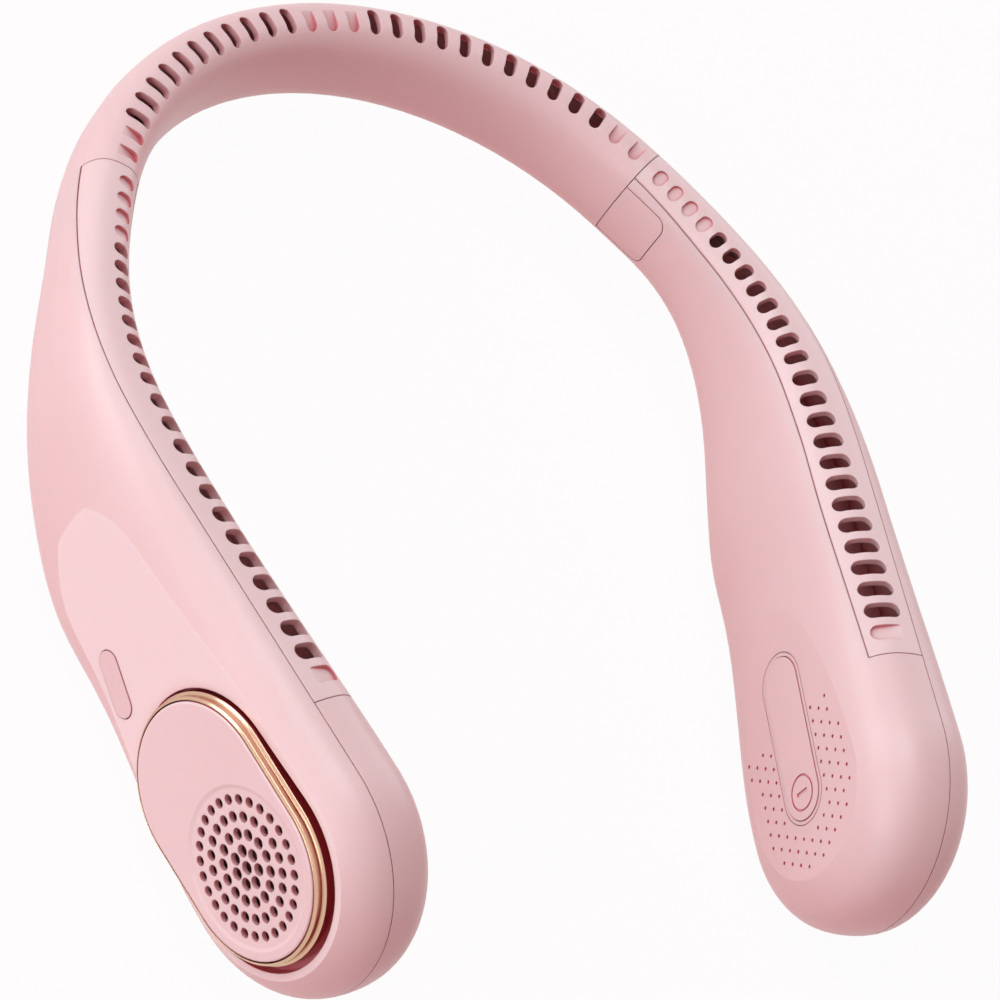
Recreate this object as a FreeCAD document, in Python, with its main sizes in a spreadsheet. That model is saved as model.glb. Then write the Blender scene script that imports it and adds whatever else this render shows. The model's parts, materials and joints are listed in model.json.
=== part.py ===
import FreeCAD, Part
import math
import os

import Sketcher
from FreeCAD import Placement, Rotation, Vector

# Driving sizes of the neck fan, millimetres and degrees, one cell each
SIZES = {
    # Plan line of the slots, right half, as tangent arcs from the nape forward and then straight
    "nape_length": 88, "nape_radius": 85,
    "side_length": 27, "side_radius": 150,
    "collar_length": 38, "collar_radius": 83,
    "lead_length": 22, "lead_radius": 230,
    "arm_length": 160,
    # Cross sections: the band behind the neck, the arm, and the pod round the fan
    "crest_level": 1.2, "roundness": 2.5,
    "band_half_height": 12.4, "band_half_thick": 7.5, "band_shift": 1.0,
    "arm_half_height": 27, "arm_half_thick": 13.8, "arm_shift": 4.8,
    "pod_half_height": 31.4, "pod_half_thick": 17.1,
    "swell_start": 14, "swell_end": 96, "shift_lead": 8, "shift_end": 102,
    "wall": 1.8,
    # Flats on the pod and the lines between the shells
    "outer_flat": 17.0, "inner_flat": 9.7, "inner_flat_reach": 58,
    "parting_inset": 0.6, "parting_gap": 0.18,
    "strip_lip": 1.9, "strip_length": 142, "strip_skirt": 6.5,
    "tab_length": 13.8, "tab_top": 4.7, "tab_bottom": 20.5, "tab_corner": 3.2, "tab_depth": 7,
    # Air slots
    "slot_lean": 22,
    "nape_slot_pitch": 6.0, "nape_slot_length": 6.4, "nape_slot_width": 2.9, "nape_slot_margin": 4.0,
    "first_slot": 4.6, "last_slot": 5.6, "slot_side": 3.7,
    "near_slot_pitch": 5.0, "near_slot_width": 3.1, "near_slot_length": 4.3,
    "far_slot_pitch": 5.9, "far_slot_width": 3.9, "far_slot_length": 8.6,
    "blind_depth": 0.9,
    # Intake: pocket in the outer flat, dust mesh, trim ring and perforated cover
    "pocket_rim": 8.0, "pocket_taper": 1.1, "pocket_depth": 3.0, "pocket_floor": 1.6, "intake_span": 18.5,
    "seat_gap": 0.1,
    "ring_groove": 1.7, "ring_ledge": 0.65, "ring_width": 0.65, "ring_gap": 0.3,
    "ring_low_step": 2.2, "ring_top_step": 0.3, "ring_bevel": 0.45,
    "cover_proud": 3.4, "cover_thick": 1.6, "cover_skirt": 1.5, "cover_edge": 0.5,
    "mesh_gap": 1.0, "mesh_lap": 1.2, "mesh_thick": 0.4,
    "dish_rim": 3.0, "dish_depth": 0.3, "dish_slope": 70, "hole_margin": 2.42,
    "hole_web": 0.33, "hole_shrink": 0.09,
    # Blower
    "fan_standoff": 3.6, "scroll_floor": 1.4, "scroll_margin": 8.6, "scroll_wall": 1.2,
    "outlet_start": 9, "outlet_low": 10, "post_radius": 2.4, "screw_inset": 1.52,
    "impeller_clear": 1.0, "volute_gap": 3.0, "wheel_top_gap": 2.2, "impeller_plate": 1.0,
    "blade_root": 1.8, "blade_half_thick": 0.4,
    "hub_wall": 1.15, "hub_height": 9, "press_gap": 0.05,
    "rotor_radius": 9.4, "rotor_wall": 0.8, "rotor_height": 7.6,
    "magnet_thick": 0.9, "magnet_height": 5.2, "air_gap": 0.4,
    "stator_height": 5, "stator_slot_half": 1.2, "stator_yoke": 1.6,
    "tube_radius": 3.2, "tube_height": 7.4,
    "bearing_radius": 2.0, "shaft_radius": 1.0, "shaft_gap": 0.04,
    "screw_head": 1.2, "screw_head_height": 0.9, "screw_shank": 0.7, "screw_length": 4.6, "screw_recess": 0.6,
    # Battery, tray and circuit board in the straight part of the arm, placed back from the fan axis
    "cable_radius": 1.2, "cable_floor": 0.2, "cable_offset": 1.0, "cable_end_gap": 0.4,
    "divider_clear": 1.1, "divider_half_thick": 0.6, "divider_start": 16, "divider_end": 136,
    "divider_gap": 0.25,
    "cell_gap": 1.7, "cell_length": 40, "cell_floor": 8.4, "cell_thick": 8, "cell_edge": 1.5,
    "cell_side": 3.2, "cell_top_gap": 0.3,
    "tray_margin": 1.5, "tray_thick": 1.2, "tray_post": 1.6, "tray_post_height": 3.9,
    "tray_post_inset": 3, "tray_post_rise": 2.2,
    "board_set_back": 14.5, "board_length": 26, "board_drop": 12.8, "board_floor": 4.6, "board_thick": 1.0,
    "chip_inset": 3, "chip_length": 5, "chip_height": 4, "chip_thick": 1.1,
    # Charging socket
    "socket_radius": 1.63, "socket_span": 5.68, "socket_depth": 7.3, "socket_wall": 0.3, "socket_back": 0.8,
    "socket_place": 52, "socket_recess": 0.6, "socket_clear": 0.35,
    "tongue_half_thick": 0.35, "tongue_reach": 0.6, "tongue_set_back": 1.2,
    # Buttons
    "mode_radius": 2.8, "mode_span": 9.4, "mode_front": 47.5, "mode_level": 40.2, "mode_tilt": 20.5,
    "button_proud": 0.2, "flange_width": 0.75, "flange_thick": 0.6, "button_gap": 0.2, "button_press": 0.8,
    "power_radius": 6.3, "power_span": 27.4, "power_tilt": 6, "power_drop": 1.0,
    "bezel_width": 0.85, "bezel_depth": 1.7,
    "symbol_radius": 4.3, "symbol_line": 0.5, "symbol_bar": 2.0, "symbol_depth": 0.35,
    "switch_half_side": 2.0,
    "switch_board_front": 6, "switch_board_length": 20, "switch_board_half_width": 6,
    "switch_board_gap": 0.3, "switch_board_thick": 0.8,
    # Pinholes in the right inner flat
    "pinhole_radius": 0.42, "pinhole_depth": 0.45, "pinhole_pitch": 3.4, "pinhole_reach": 17.2,
    "pinhole_gap": 1.2, "pinhole_margin": 2.4, "panel_half_height": 20.0,
}

# Counts
NAPE_SLOTS_BLIND = 2
ARM_SLOTS_NEAR = 12
ARM_SLOTS_BLIND = 4
HOLE_RINGS = 4
HOLES_PER_RING = 7
BLADES = 27
STATOR_POLES = 9
BAND_SECTIONS = 25
SECTION_POINTS = 13
SIDES = {"left": -1, "right": 1}

UP = Vector(0, 0, 1)
LEFT_RIGHT = Vector(1, 0, 0)

doc = FreeCAD.newDocument("neck_fan")
sheet = doc.addObject("Spreadsheet::Sheet", "sizes")
for row, (alias, number) in enumerate(SIZES.items(), start=1):
    sheet.set("A%d" % row, alias)
    sheet.set("B%d" % row, str(number))
    sheet.setAlias("B%d" % row, alias)
doc.recompute()


def size(alias):
    """Value of one cell."""
    return float(sheet.get(alias))


def value(text):
    """Value of a sum of cells and numbers, such as 'outer_flat - 0.5 * wall'."""
    total, sign, factors = 0.0, 1, []
    for word in text.split() + ["+"]:
        if word in "+-":
            total += sign * math.prod(factors) if factors else 0.0
            sign, factors = (1 if word == "+" else -1), []
        elif word != "*":
            factors.append(size(word) if word in SIZES else float(word))
    return total


def formula(text):
    """The same sum as an expression on the sheet."""
    return " ".join("sizes." + word if word in SIZES else word for word in text.split())


def negated(text):
    """The same sum with every sign turned round."""
    swap = {"+": "-", "-": "+"}
    words = text.split()
    if words[0] not in swap:
        words.insert(0, "+")
    return " ".join(swap.get(word, word) for word in words)


def scaled(share, text):
    """The same sum with every term times a share."""
    return " ".join(word if word in "+-" else "%s * %s" % (share, word) for word in text.split())


def past_seam(alias):
    """Station of a distance past the seam between the band and the arm."""
    return value("nape_length + " + alias)


# Plan line and cross sections

ARCS = [(size(name + "_length"), size(name + "_radius")) for name in ("nape", "side", "collar", "lead")]


def plan_breaks():
    """Stations where the plan line changes radius."""
    breaks = [0.0]
    for length, radius in ARCS:
        breaks.append(breaks[-1] + length)
    return breaks


def plan_pose(station):
    """Place and heading of the plan line at a distance along it from the nape."""
    x, y, heading, rest = 0.0, 0.0, 0.0, station
    for length, radius in ARCS:
        step = min(rest, length)
        turned = heading + step / radius
        x += radius * (math.sin(turned) - math.sin(heading))
        y += radius * (math.cos(turned) - math.cos(heading))
        heading = turned
        rest -= step
    return x + rest * math.cos(heading), y - rest * math.sin(heading), heading


def outward(station):
    """Level direction away from the neck, square to the plan line."""
    heading = plan_pose(station)[2]
    return Vector(math.sin(heading), math.cos(heading), 0)


def forward(station):
    """Direction along the plan line."""
    heading = plan_pose(station)[2]
    return Vector(math.cos(heading), -math.sin(heading), 0)


def plan_point(station, offset, level):
    """A point beside the plan line of the right half."""
    x, y, heading = plan_pose(station)
    return Vector(x + offset * math.sin(heading), y + offset * math.cos(heading), level)


def plan_edges(offset, start, end, level):
    """Arcs and a line that run beside the plan line."""
    stops = [start] + [stop for stop in plan_breaks() if start < stop < end] + [end]
    edges = []
    for first, last in zip(stops, stops[1:]):
        ends = [plan_point(stop, offset, level) for stop in (first, 0.5 * (first + last), last)]
        straight = first >= plan_breaks()[-1]
        edges.append(Part.LineSegment(ends[0], ends[2]) if straight else Part.Arc(*ends))
    return [edge.toShape() for edge in edges]


def swell(station, start, end):
    """Smooth growth from 0 to 1 between two stations."""
    share = min(max((station - start) / (end - start), 0.0), 1.0)
    return share * share * (3 - 2 * share)


def grown(station, part):
    """A half size of the section, from band to arm to pod."""
    band, arm, pod = (size(zone + "_half_" + part) for zone in ("band", "arm", "pod"))
    arm_share = swell(station, past_seam("swell_start"), past_seam("swell_end"))
    pod_share = swell(station, past_seam("swell_end"), past_seam("arm_length"))
    return band + (arm - band) * arm_share + (pod - arm) * pod_share


def section_shift(station):
    """How far the middle of the section lies outside the plan line."""
    share = swell(station, value("nape_length - shift_lead"), past_seam("shift_end"))
    return size("band_shift") + (size("arm_shift") - size("band_shift")) * share


def section_middle(station):
    """Level of the middle of the section."""
    return size("crest_level") - grown(station, "height")


def surface_level(station, offset):
    """Level of the top surface at an offset from the plan line."""
    share = abs(offset - section_shift(station)) / grown(station, "thick")
    rise = (1 - share ** size("roundness")) ** (1 / size("roundness"))
    return section_middle(station) + grown(station, "height") * rise


def section_points(station, inset, side):
    """Points of the upper (side 1) or lower (side -1) half of a section, from the neck side outward."""
    half_thick = grown(station, "thick") - inset
    half_height = grown(station, "height") - inset
    power = 2 / size("roundness")
    points = []
    for step in range(SECTION_POINTS):
        turn = math.pi * (1 - step / (SECTION_POINTS - 1))
        across = math.copysign(abs(math.cos(turn)) ** power, math.cos(turn))
        level = side * abs(math.sin(turn)) ** power if 0 < step < SECTION_POINTS - 1 else 0.0
        offset = section_shift(station) + half_thick * across
        points.append(plan_point(station, offset, section_middle(station) + half_height * level))
    return points


def spacing():
    """Spacing of the section points, taken from the arm and shared by all sections."""
    points = section_points(past_seam("swell_end"), 0, 1)
    steps = [0.0]
    for first, second in zip(points, points[1:]):
        steps.append(steps[-1] + first.distanceToPoint(second))
    return [step / steps[-1] for step in steps]


SPACING = spacing()


def half_section(station, inset, side):
    """Upper (side 1) or lower (side -1) half of a section as one curve."""
    curve = Part.BSplineCurve()
    curve.interpolate(Points=section_points(station, inset, side), Parameters=SPACING,
                      InitialTangent=UP * side, FinalTangent=UP * -side)
    return curve.toShape()


def mirrored(shape):
    """The other arm's copy."""
    return shape.mirror(Vector(), LEFT_RIGHT)


def section_wire(station, inset):
    """Closed section at a station, negative on the left half."""
    halves = [half_section(abs(station), inset, side) for side in (1, -1)]
    wire = Part.Wire([halves[0], halves[1]])
    return mirrored(wire) if station < 0 else wire


def pod_frame(side):
    """Frame of one fan: X forward along the arm, Z outward along the fan axis, origin on the plan line."""
    hand = SIDES[side]
    station = past_seam("arm_length")
    ahead = forward(station)
    out = outward(station)
    base = plan_point(station, 0, section_middle(station))
    x_axis = Vector(hand * ahead.x, ahead.y, 0)
    z_axis = Vector(hand * out.x, out.y, 0)
    turn = Rotation(x_axis, z_axis.cross(x_axis), z_axis, "ZXY")
    return Placement(Vector(hand * base.x, base.y, base.z), turn)


def rise(side):
    """Sign of the pod frame's Y for a place above the fan axis."""
    return -SIDES[side]


def placed(shape, placement):
    """A copy of a shape moved into a frame."""
    moved = shape.copy()
    moved.Placement = placement.multiply(moved.Placement)
    return moved


def flat_cutter(side, start, level, depth):
    """Block that trims the pod to a flat, from a level outward by a depth."""
    reach = 2 * size("pod_half_height")
    corner = Vector(start, -reach, min(level, level + depth))
    block = Part.makeBox(reach - start, 2 * reach, abs(depth), corner)
    return placed(block, pod_frame(side))


def rounded_form(inset):
    """The whole band with both pods as one solid, drawn in all round by an inset."""
    last = past_seam("arm_length")
    stations = [last * step / (BAND_SECTIONS - 1) for step in range(1 - BAND_SECTIONS, BAND_SECTIONS)]
    form = Part.makeLoft([section_wire(station, inset) for station in stations], True, False)
    top = half_section(last, inset, 1)
    middle = plan_point(last, 0, section_middle(last))
    axis = Part.LineSegment(top.lastVertex().Point, top.firstVertex().Point).toShape()
    end = Part.Face(Part.Wire([top, axis])).revolve(middle, outward(last), 180)
    form = form.fuse([end, mirrored(end)])
    depth = size("pod_half_thick")
    for side in SIDES:
        outer = flat_cutter(side, -2 * size("inner_flat_reach"), size("outer_flat") - inset, depth)
        inner = flat_cutter(side, -size("inner_flat_reach"), inset - size("inner_flat"), -depth)
        form = form.cut([outer, inner])
    return form.removeSplitter()


def band_block(inner, outer, start, end, low, high):
    """Upright block between two offsets of the plan line and two stations."""
    near = plan_edges(inner, start, end, low)
    far = plan_edges(outer, start, end, low)
    starts = Part.makeLine(plan_point(start, inner, low), plan_point(start, outer, low))
    ends = Part.makeLine(plan_point(end, inner, low), plan_point(end, outer, low))
    wire = Part.Wire(Part.__sortEdges__(near + far + [starts, ends]))
    return Part.Face(wire).extrude(Vector(0, 0, high - low))


def pill_face(radius, span, base, taper):
    """Flat pill, front end on the origin, rear end a span behind and smaller in radius by a taper."""
    rear = radius - taper
    back = -taper / span
    across = math.sqrt(1 - back * back)
    front_top = Vector(radius * back, radius * across, base)
    front_low = Vector(radius * back, -radius * across, base)
    rear_top = Vector(rear * back - span, rear * across, base)
    rear_low = Vector(rear * back - span, -rear * across, base)
    edges = [Part.Arc(front_top, Vector(radius, 0, base), front_low), Part.LineSegment(front_low, rear_low),
             Part.Arc(rear_low, Vector(-span - rear, 0, base), rear_top),
             Part.LineSegment(rear_top, front_top)]
    return Part.Face(Part.Wire([edge.toShape() for edge in edges]))


def pill_block(radius, span, low, high, taper=0.0):
    """Pill prism along Z."""
    return pill_face(radius, span, low, taper).extrude(Vector(0, 0, high - low))


def slot_cutter(station, offset, length, width, depth):
    """Stadium cutter across the band at a station, its middle at an offset, leaning towards the neck."""
    lean = math.radians(size("slot_lean"))
    out = outward(station)
    across = out * math.cos(lean) + UP * math.sin(lean)
    normal = UP * math.cos(lean) - out * math.sin(lean)
    turn = Rotation(across, normal.cross(across), normal, "ZXY")
    span = length - width
    clear = size("crest_level") + length
    prism = pill_block(0.5 * width, span, -depth, clear)
    prism.translate(Vector(0.5 * span, 0, 0))
    return placed(prism, Placement(plan_point(station, offset, surface_level(station, offset)), turn))


def slot_depth(blind):
    """How deep a slot goes: a shallow recess or right through the wall."""
    return size("blind_depth") if blind else 2 * size("wall")


def nape_slots():
    """Slots of the band behind the neck, both halves, blind in the middle and next to the seams."""
    pitch = size("nape_slot_pitch")
    count = 1 + int(value("nape_length - nape_slot_margin") / pitch)
    cutters = []
    for index in range(count):
        blind = index < NAPE_SLOTS_BLIND or index >= count - NAPE_SLOTS_BLIND
        cutter = slot_cutter(index * pitch, 0, size("nape_slot_length"), size("nape_slot_width"),
                             slot_depth(blind))
        cutters.append(cutter)
        if index:
            cutters.append(mirrored(cutter))
    return cutters


def arm_slots():
    """Slots of the right vent strip: narrow, then wide, growing longer, blind at both ends."""
    near = [past_seam("first_slot") + index * size("near_slot_pitch") for index in range(ARM_SLOTS_NEAR)]
    room = past_seam("strip_length") - size("last_slot") - near[-1]
    pitch = size("far_slot_pitch")
    far = [near[-1] + (index + 1) * pitch for index in range(int(room / pitch))]
    slots = [(station, size("near_slot_width")) for station in near]
    slots += [(station, size("far_slot_width")) for station in far]
    cutters = []
    for index, (station, width) in enumerate(slots):
        blind = index < ARM_SLOTS_BLIND or index == len(slots) - 1
        growth = value("far_slot_length - near_slot_length") * swell(station, near[0], far[-1])
        length = size("near_slot_length") + growth
        offset = 0.5 * length - size("slot_side")
        cutters.append(slot_cutter(station, offset, length, width, slot_depth(blind)))
    return cutters


# Offsets from the plan line and levels under it

PARTING = "band_shift + band_half_thick - parting_inset"
STRIP_SIDE = "band_shift - band_half_thick + strip_lip"
CABLE_LEVEL = "crest_level - band_half_height - band_half_height + wall + cable_floor + cable_radius"
DIVIDER_LEVEL = CABLE_LEVEL + " + cable_radius + divider_clear + divider_half_thick"

# Radii round the fan axis

POCKET = "pod_half_height - pocket_rim"
RING_LOW = POCKET + " - ring_groove"
RING_TOP = RING_LOW + " - ring_ledge"
COVER = RING_TOP + " - ring_width - ring_gap"
DISH = COVER + " - dish_rim"
HOLE_FIELD = DISH + " - hole_margin"
MESH = COVER + " - cover_skirt - mesh_gap"
INLET = MESH + " - mesh_lap"
SCROLL = "pod_half_height - scroll_margin"
CELL_FRONT = SCROLL + " + cell_gap"
CELL_BACK = CELL_FRONT + " + cell_length"
BOARD_FRONT = CELL_FRONT + " + board_set_back"
WHEEL = SCROLL + " - scroll_wall - volute_gap"
POST_OFFSET = scaled("0.7071", SCROLL + " - scroll_wall - screw_inset")

# Levels along the fan axis, from the plan line outward

INNER_FACE = "wall - inner_flat"
POCKET_LEVEL = "outer_flat - pocket_depth"
SEAT = POCKET_LEVEL + " + seat_gap"
COVER_TOP = "outer_flat + cover_proud"
FAN_BASE = INNER_FACE + " + fan_standoff"
SCROLL_TOP = FAN_BASE + " + scroll_floor"
IMPELLER_BASE = SCROLL_TOP + " + impeller_clear"
SCROLL_RIM = POCKET_LEVEL + " - pocket_floor - seat_gap"
COVER_HEIGHT = "pocket_depth + cover_proud - seat_gap"
SCROLL_HEIGHT = "outer_flat - pocket_depth - pocket_floor - seat_gap + inner_flat - wall - fan_standoff"
MAGNET_BORE = "rotor_radius - rotor_wall - press_gap - magnet_thick"
STATOR_BASE = IMPELLER_BASE + " + impeller_clear"
ROTOR_BASE = IMPELLER_BASE + " + seat_gap"
SHAFT_LENGTH = "impeller_clear + rotor_height - seat_gap"
WHEEL_HEIGHT = SCROLL_RIM + " " + negated(IMPELLER_BASE) + " - wheel_top_gap"
CELL_BASE = "arm_shift - arm_half_thick + wall + cell_side"
TRAY_LEVEL = CELL_BASE + " + cell_thick + seat_gap"
BOARD_BACK = TRAY_LEVEL + " + tray_thick + tray_post_height"
BOARD_FACE = BOARD_BACK + " + board_thick"
SOCKET_LEVEL = BOARD_FACE + " + socket_radius"
MODE_FLANGE = "outer_flat - wall - button_gap - flange_thick"
MODE_TOP = "outer_flat + button_proud"
POWER_TOP = "- inner_flat - button_proud"
POWER_FLANGE = "bezel_depth - inner_flat + button_gap"
POWER_BACK = POWER_FLANGE + " + flange_thick"
SWITCH_BOARD = FAN_BASE + " - switch_board_gap - switch_board_thick"

# Heights above the fan axis: plan line, arm's belly, battery and circuit board

PLAN_HEIGHT = "pod_half_height - crest_level"
BELLY_HEIGHT = "pod_half_height - arm_half_height - arm_half_height"
CELL_TOP = PLAN_HEIGHT + " + " + DIVIDER_LEVEL + " - divider_half_thick - cell_top_gap"
CELL_LOW = BELLY_HEIGHT + " + cell_floor"
BOARD_TOP = CELL_TOP + " - board_drop"
BOARD_LOW = BELLY_HEIGHT + " + board_floor"


# Where the part rests: on the bellies of both arms and the undersides of both pods

def rest_placement():
    """Tilt that brings bellies and pods level, with the origin under the middle of the part."""
    last = past_seam("arm_length")
    bellies = {"arm": [], "pod": []}
    for step in range(251):
        station = last * step / 250
        low = section_middle(station) - grown(station, "height")
        zone = "arm" if station <= past_seam("swell_end") else "pod"
        bellies[zone].append(plan_point(station, section_shift(station), low))
    flat, steep = 0.0, 20.0
    for _ in range(40):
        tilt = 0.5 * (flat + steep)
        turn = Rotation(LEFT_RIGHT, -tilt)
        arm_low, pod_low = (min(turn.multVec(point).z for point in bellies[zone]) for zone in ("arm", "pod"))
        if arm_low > pod_low:
            flat = tilt
        else:
            steep = tilt
    nape = plan_point(0, value("band_shift + band_half_thick"), section_middle(0))
    pod = plan_point(last, size("arm_shift"), section_middle(last))
    front = turn.multVec(pod).y - size("pod_half_height")
    return Placement(Vector(0, -0.5 * (front + turn.multVec(nape).y), -pod_low), turn)


REST = rest_placement()
sub_parts = []


def listed(item, name, placement):
    """Give an object its name and its resting place, and put it on the list to write."""
    item.Label = name
    item.Placement = REST.multiply(placement)
    sub_parts.append(item)
    return item


def feature(name, shape):
    """Sub-part with a shape made in the band's own frame."""
    item = doc.addObject("Part::Feature", name)
    item.Shape = shape
    return listed(item, name, Placement())


# Sketches and features of the turned, padded and pocketed pieces

def body_named(name, side, place=Placement()):
    """Body placed in the frame of one fan."""
    return listed(doc.addObject("PartDesign::Body", name), name, pod_frame(side).multiply(place))


def sketch_at(body, level):
    """Sketch on the body's XY plane, raised to a level."""
    sketch = body.newObject("Sketcher::SketchObject", body.Name + "_sketch")
    plane = [item for item in body.Origin.OriginFeatures if item.Role == "XY_Plane"][0]
    sketch.AttachmentSupport = [(plane, "")]
    sketch.MapMode = "FlatFace"
    sketch.setExpression("AttachmentOffset.Base.z", formula(level))
    return sketch


def dimension(sketch, text, kind, *refs):
    """Dimension a sketch by a sum of cells."""
    index = sketch.addConstraint(Sketcher.Constraint(kind, *refs, value(text)))
    sketch.setExpression("Constraints[%d]" % index, formula(text))


def add_circle(sketch, radius, x="0", y="0"):
    """Circle dimensioned by its radius and middle."""
    middle = Vector(value(x), value(y), 0)
    ring = sketch.addGeometry(Part.Circle(middle, UP, value(radius)))
    dimension(sketch, radius, "Radius", ring)
    dimension(sketch, x, "DistanceX", -1, 1, ring, 3)
    dimension(sketch, y, "DistanceY", -1, 1, ring, 3)


def add_box(sketch, x_low, x_high, y_low, y_high):
    """Rectangle dimensioned from the origin."""
    corners = [Vector(value(x), value(y), 0) for x, y in
               ((x_low, y_low), (x_high, y_low), (x_high, y_high), (x_low, y_high))]
    sides = [sketch.addGeometry(Part.LineSegment(corners[i], corners[(i + 1) % 4])) for i in range(4)]
    for i in range(4):
        sketch.addConstraint(Sketcher.Constraint("Coincident", sides[i], 2, sides[(i + 1) % 4], 1))
    for i, kind in enumerate(("Horizontal", "Vertical", "Horizontal", "Vertical")):
        sketch.addConstraint(Sketcher.Constraint(kind, sides[i]))
    dimension(sketch, x_low, "DistanceX", -1, 1, sides[0], 1)
    dimension(sketch, y_low, "DistanceY", -1, 1, sides[0], 1)
    dimension(sketch, x_high, "DistanceX", -1, 1, sides[2], 1)
    dimension(sketch, y_high, "DistanceY", -1, 1, sides[2], 1)


def add_pill(sketch, radius, span):
    """Pill with its front end on the origin and its rear end a span behind."""
    big, back = value(radius), -value(span)
    quarter = 0.5 * math.pi
    front = sketch.addGeometry(Part.ArcOfCircle(Part.Circle(Vector(), UP, big), -quarter, quarter))
    rear_circle = Part.Circle(Vector(back, 0, 0), UP, big)
    rear = sketch.addGeometry(Part.ArcOfCircle(rear_circle, quarter, 3 * quarter))
    top = sketch.addGeometry(Part.LineSegment(Vector(0, big, 0), Vector(back, big, 0)))
    low = sketch.addGeometry(Part.LineSegment(Vector(back, -big, 0), Vector(0, -big, 0)))
    for first, second in ((front, top), (top, rear), (rear, low), (low, front)):
        sketch.addConstraint(Sketcher.Constraint("Tangent", first, 2, second, 1))
    sketch.addConstraint(Sketcher.Constraint("Coincident", front, 3, -1, 1))
    sketch.addConstraint(Sketcher.Constraint("PointOnObject", rear, 3, -1))
    dimension(sketch, radius, "Radius", front)
    dimension(sketch, span, "DistanceX", rear, 3, front, 3)


def grow(body, sketch, height):
    """Pad outward by a height."""
    pad = body.newObject("PartDesign::Pad", body.Name + "_pad")
    pad.Profile = sketch
    pad.setExpression("Length", formula(height))
    sketch.Visibility = False
    return pad


def carve(body, sketch, depth):
    """Pocket outward from its sketch by a depth."""
    pocket = body.newObject("PartDesign::Pocket", body.Name + "_pocket")
    pocket.Profile = sketch
    pocket.Reversed = True
    pocket.setExpression("Length", formula(depth))
    return pocket


def repeated(body, item, count):
    """Copies of a feature round the fan axis."""
    doc.recompute()
    pattern = body.newObject("PartDesign::PolarPattern", body.Name + "_pattern")
    pattern.Originals = [item]
    axis = [part for part in body.Origin.OriginFeatures if part.Role == "Z_Axis"][0]
    pattern.Axis = (axis, [""])
    pattern.Angle = 360
    pattern.Occurrences = count
    body.Tip = pattern
    return pattern


def pill_pad(body, radius, span, level, height):
    """Pad a pill."""
    sketch = sketch_at(body, level)
    add_pill(sketch, radius, span)
    return grow(body, sketch, height)


def pill_cut(body, radius, span, level, depth):
    """Pocket a pill."""
    sketch = sketch_at(body, level)
    add_pill(sketch, radius, span)
    return carve(body, sketch, depth)


def disc(body, radius, level, height):
    """Pad a round plate."""
    sketch = sketch_at(body, level)
    add_circle(sketch, radius)
    return grow(body, sketch, height)


def bore(body, radius, level, depth, x="0", y="0"):
    """Pocket a round hole."""
    sketch = sketch_at(body, level)
    add_circle(sketch, radius, x, y)
    return carve(body, sketch, depth)


def ring_pad(body, outer, inner, level, height):
    """Pad a ring."""
    sketch = sketch_at(body, level)
    add_circle(sketch, outer)
    add_circle(sketch, inner)
    return grow(body, sketch, height)


def slab(body, x_low, x_high, y_low, y_high, level, height):
    """Pad a rectangular block."""
    sketch = sketch_at(body, level)
    add_box(sketch, x_low, x_high, y_low, y_high)
    return grow(body, sketch, height)


def edge_names(item, chosen):
    """Names of the edges of a feature whose bounding boxes are chosen."""
    doc.recompute()
    return ["Edge%d" % (index + 1) for index, edge in enumerate(item.Shape.Edges) if chosen(edge.BoundBox)]


def round_edges(body, item, radius, chosen):
    """Round the chosen edges of a feature."""
    names = edge_names(item, chosen)
    fillet = body.newObject("PartDesign::Fillet", body.Name + "_fillet")
    fillet.Base = (item, names)
    fillet.setExpression("Radius", formula(radius))


def bevel_edges(body, item, width, chosen):
    """Chamfer the chosen edges of a feature."""
    names = edge_names(item, chosen)
    chamfer = body.newObject("PartDesign::Chamfer", body.Name + "_chamfer")
    chamfer.Base = (item, names)
    chamfer.setExpression("Size", formula(width))


# Shells of the band and arms

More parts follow.
